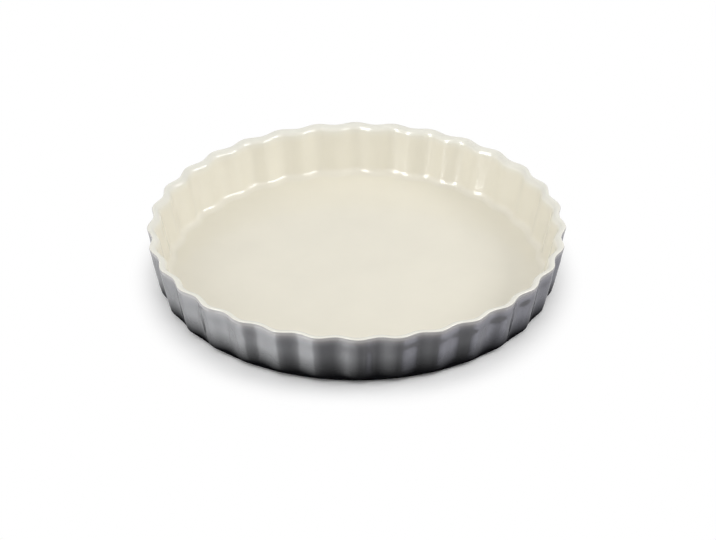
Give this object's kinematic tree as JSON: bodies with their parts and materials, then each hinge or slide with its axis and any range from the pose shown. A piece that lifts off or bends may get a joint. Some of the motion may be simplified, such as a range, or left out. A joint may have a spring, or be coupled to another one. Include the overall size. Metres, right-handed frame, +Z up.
{
  "type": "fluted quiche dish",
  "caption": "Shallow round glazed stoneware baking dish with a leaning fluted wall, a full-round rim and a bare foot ring.",
  "frame": {"origin": "middle of the foot ring, on the surface that the dish stands on", "axes": "+Z up along the dish's axis; a flute's crest lies on +X"},
  "size_m": [0.28, 0.28, 0.0405],
  "materials": {
    "stoneware": "bare fired clay, matt",
    "pale_glaze": "glossy cream glaze",
    "dark_glaze": "glossy grey glaze, mid grey at the rim and near black at the foot"
  },
  "bodies": {
    "root": {"stoneware_body": "stoneware", "interior_glaze": "pale_glaze", "exterior_glaze": "dark_glaze", "underside_glaze": "dark_glaze"}
  },
  "joints": []
}
